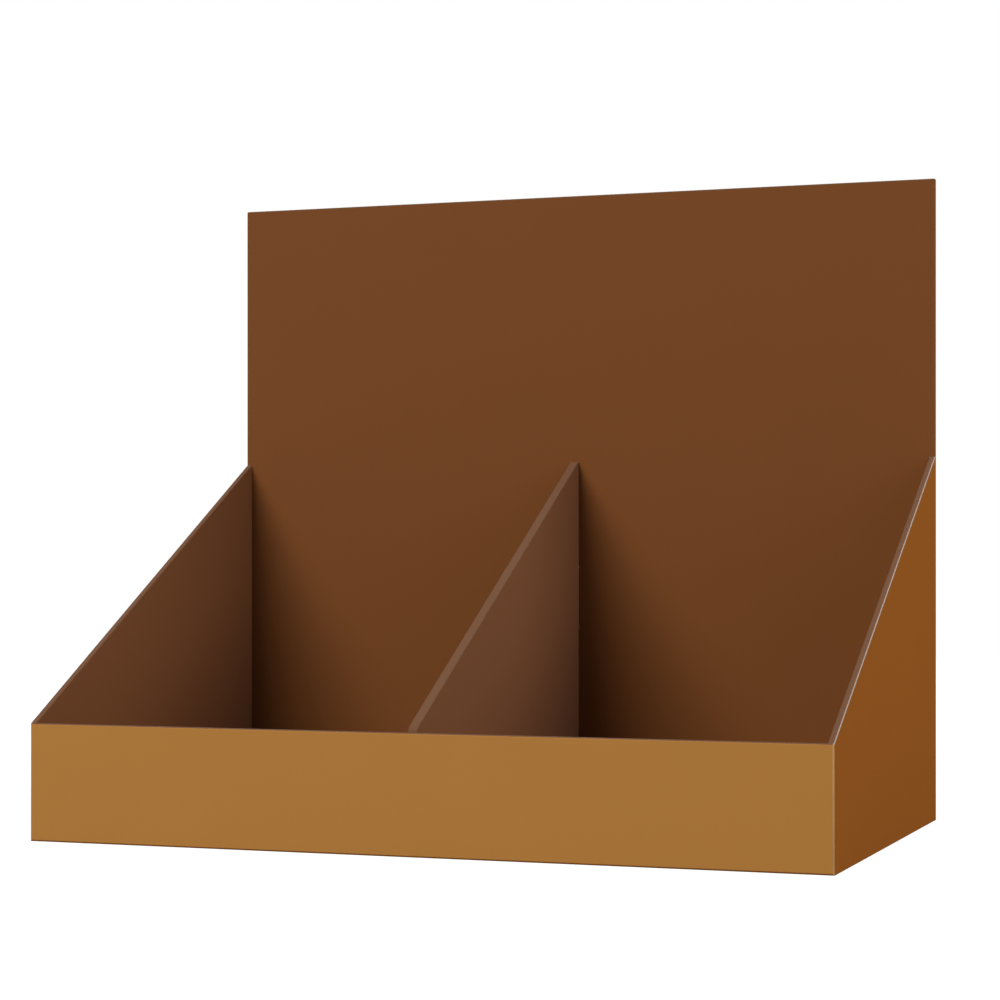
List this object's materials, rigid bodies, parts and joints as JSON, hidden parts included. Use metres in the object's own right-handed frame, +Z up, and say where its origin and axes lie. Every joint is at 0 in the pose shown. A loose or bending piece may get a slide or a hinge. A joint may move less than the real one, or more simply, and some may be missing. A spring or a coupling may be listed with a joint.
{
  "type": "countertop dispenser box",
  "caption": "Folded board countertop dispenser box: low front, sloping side walls, tall plain header and a divider board that locks into slots and makes side-by-side compartments.",
  "frame": {"origin": "centre of the footprint, on the surface that the box stands on", "axes": "+X to the right seen from the front, +Y from the low front panel to the header, +Z up"},
  "size_m": [0.3, 0.1876, 0.2542],
  "materials": {
    "tray_board": "matte",
    "divider_board": "matte"
  },
  "bodies": {
    "root": {"tray": "tray_board", "divider": "divider_board"}
  },
  "joints": []
}
